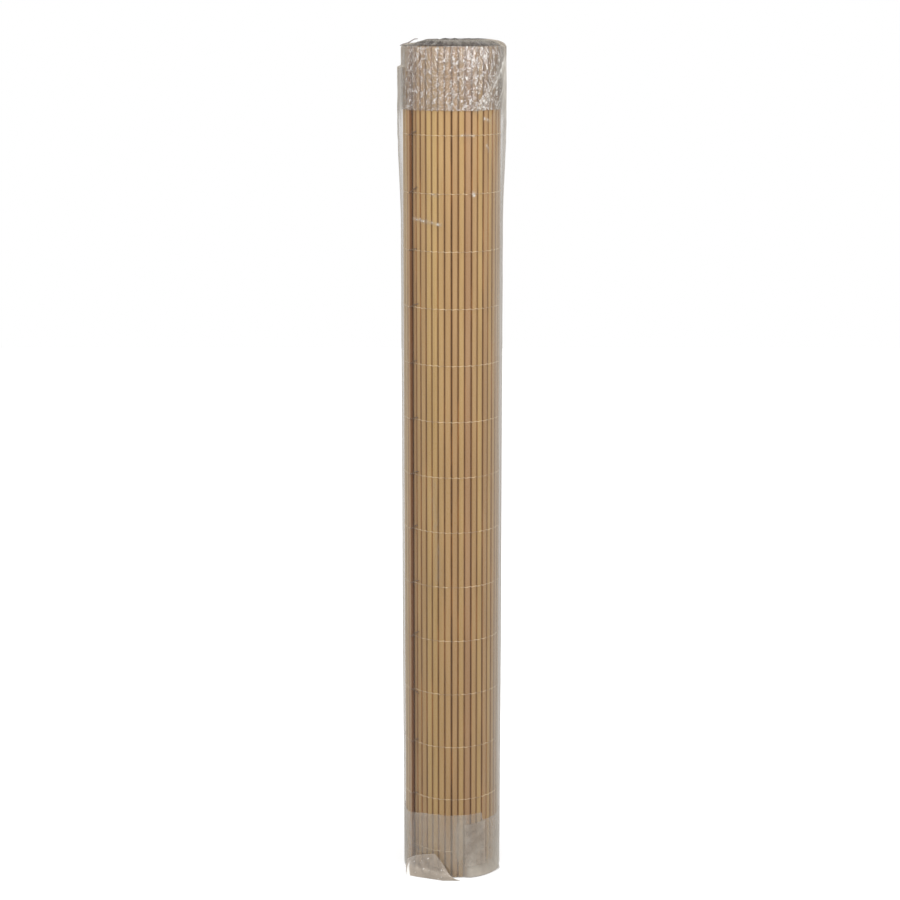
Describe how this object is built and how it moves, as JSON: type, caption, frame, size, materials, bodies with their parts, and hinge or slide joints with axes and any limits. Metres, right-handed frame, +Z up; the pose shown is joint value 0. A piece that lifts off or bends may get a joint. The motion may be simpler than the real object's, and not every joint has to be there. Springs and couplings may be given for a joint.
{
  "type": "rolled slat privacy screen mat",
  "caption": "Bamboo-look plastic slat screen mat, rolled up, tied with rows of cream thread and wrapped in clear film with crinkled end caps, standing on end.",
  "frame": {"origin": "on the floor, in the middle of the wrapped roll's foot", "axes": "+Z up along the roll, -Y towards the front, +X to the right seen from the front"},
  "size_m": [0.1891, 0.1857, 1.5116],
  "materials": {
    "slats": "satin extruded PVC with fine lengthwise lines, in slightly different tans",
    "thread": "twisted cream nylon thread",
    "clear_film": "clear glossy film with creases",
    "cap_film": "hazy crinkled film",
    "tape": "dull translucent tape"
  },
  "bodies": {
    "root": {"rolled_mat": "slats", "tie_thread_01": "thread", "tie_thread_02": "thread", "tie_thread_03": "thread", "tie_thread_04": "thread", "tie_thread_05": "thread", "tie_thread_06": "thread", "tie_thread_07": "thread", "tie_thread_08": "thread", "tie_thread_09": "thread", "tie_thread_10": "thread", "tie_thread_11": "thread", "tie_thread_12": "thread", "tie_thread_13": "thread", "tie_thread_14": "thread", "tie_thread_15": "thread", "top_film_cap": "cap_film", "bottom_film_cap": "cap_film", "film_sleeve": "clear_film", "closing_tape": "tape"}
  },
  "joints": []
}
